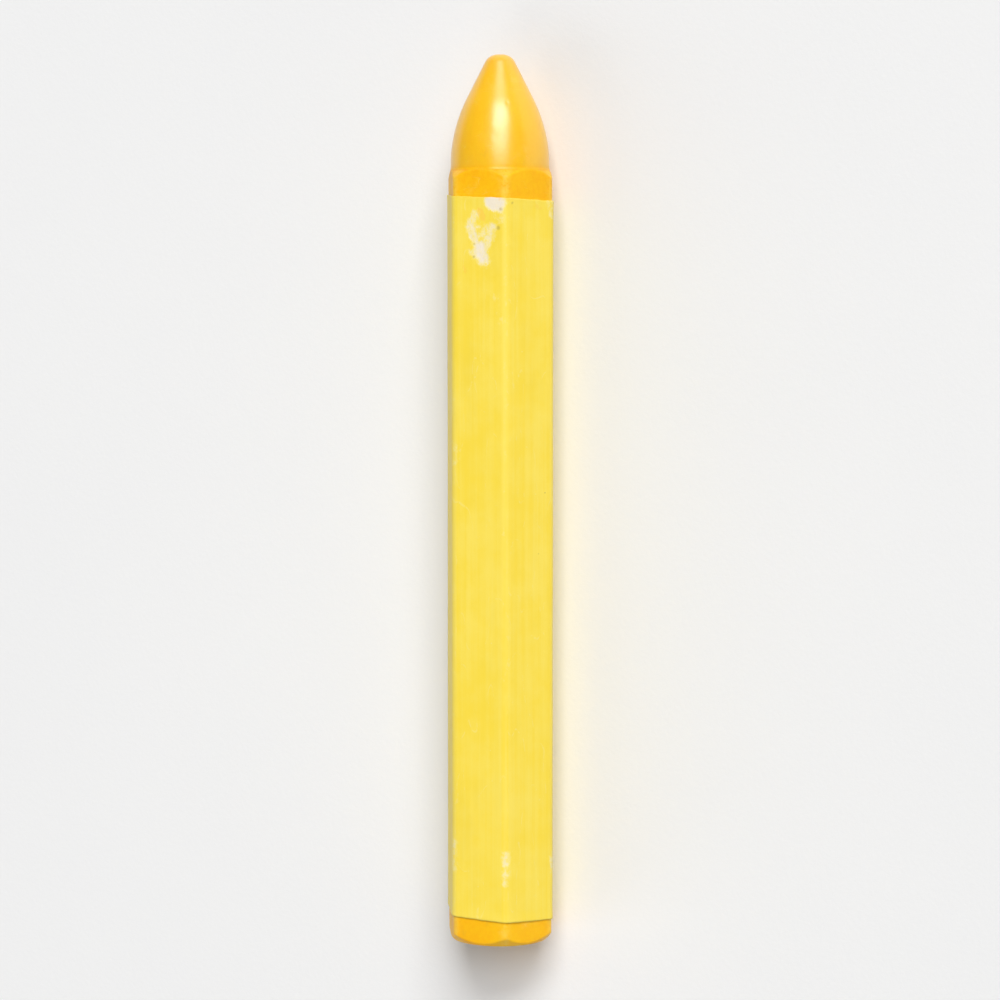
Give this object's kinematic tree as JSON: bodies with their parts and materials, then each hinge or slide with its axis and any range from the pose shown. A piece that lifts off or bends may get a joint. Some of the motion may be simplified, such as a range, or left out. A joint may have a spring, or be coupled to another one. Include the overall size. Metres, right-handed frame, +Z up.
{
  "type": "tire marking crayon",
  "caption": "Hexagonal wax marking crayon with a blunt bullet nose, in a glued paper sleeve, for writing on tires, rubber and metal.",
  "frame": {"origin": "middle of the footprint, on the surface that the crayon lies on", "axes": "+Z up, +X along the stick towards its nose, +Y to the side that carries the sleeve's lap"},
  "size_m": [0.112, 0.0144, 0.0128],
  "materials": {
    "wax": "opaque orange-yellow marking wax, waxy satin with soft gloss on the nose",
    "paper": "lemon-yellow coated paper, matte satin, rubbed to its white core in places"
  },
  "bodies": {
    "root": {"wax_stick": "wax", "paper_sleeve": "paper"}
  },
  "joints": []
}
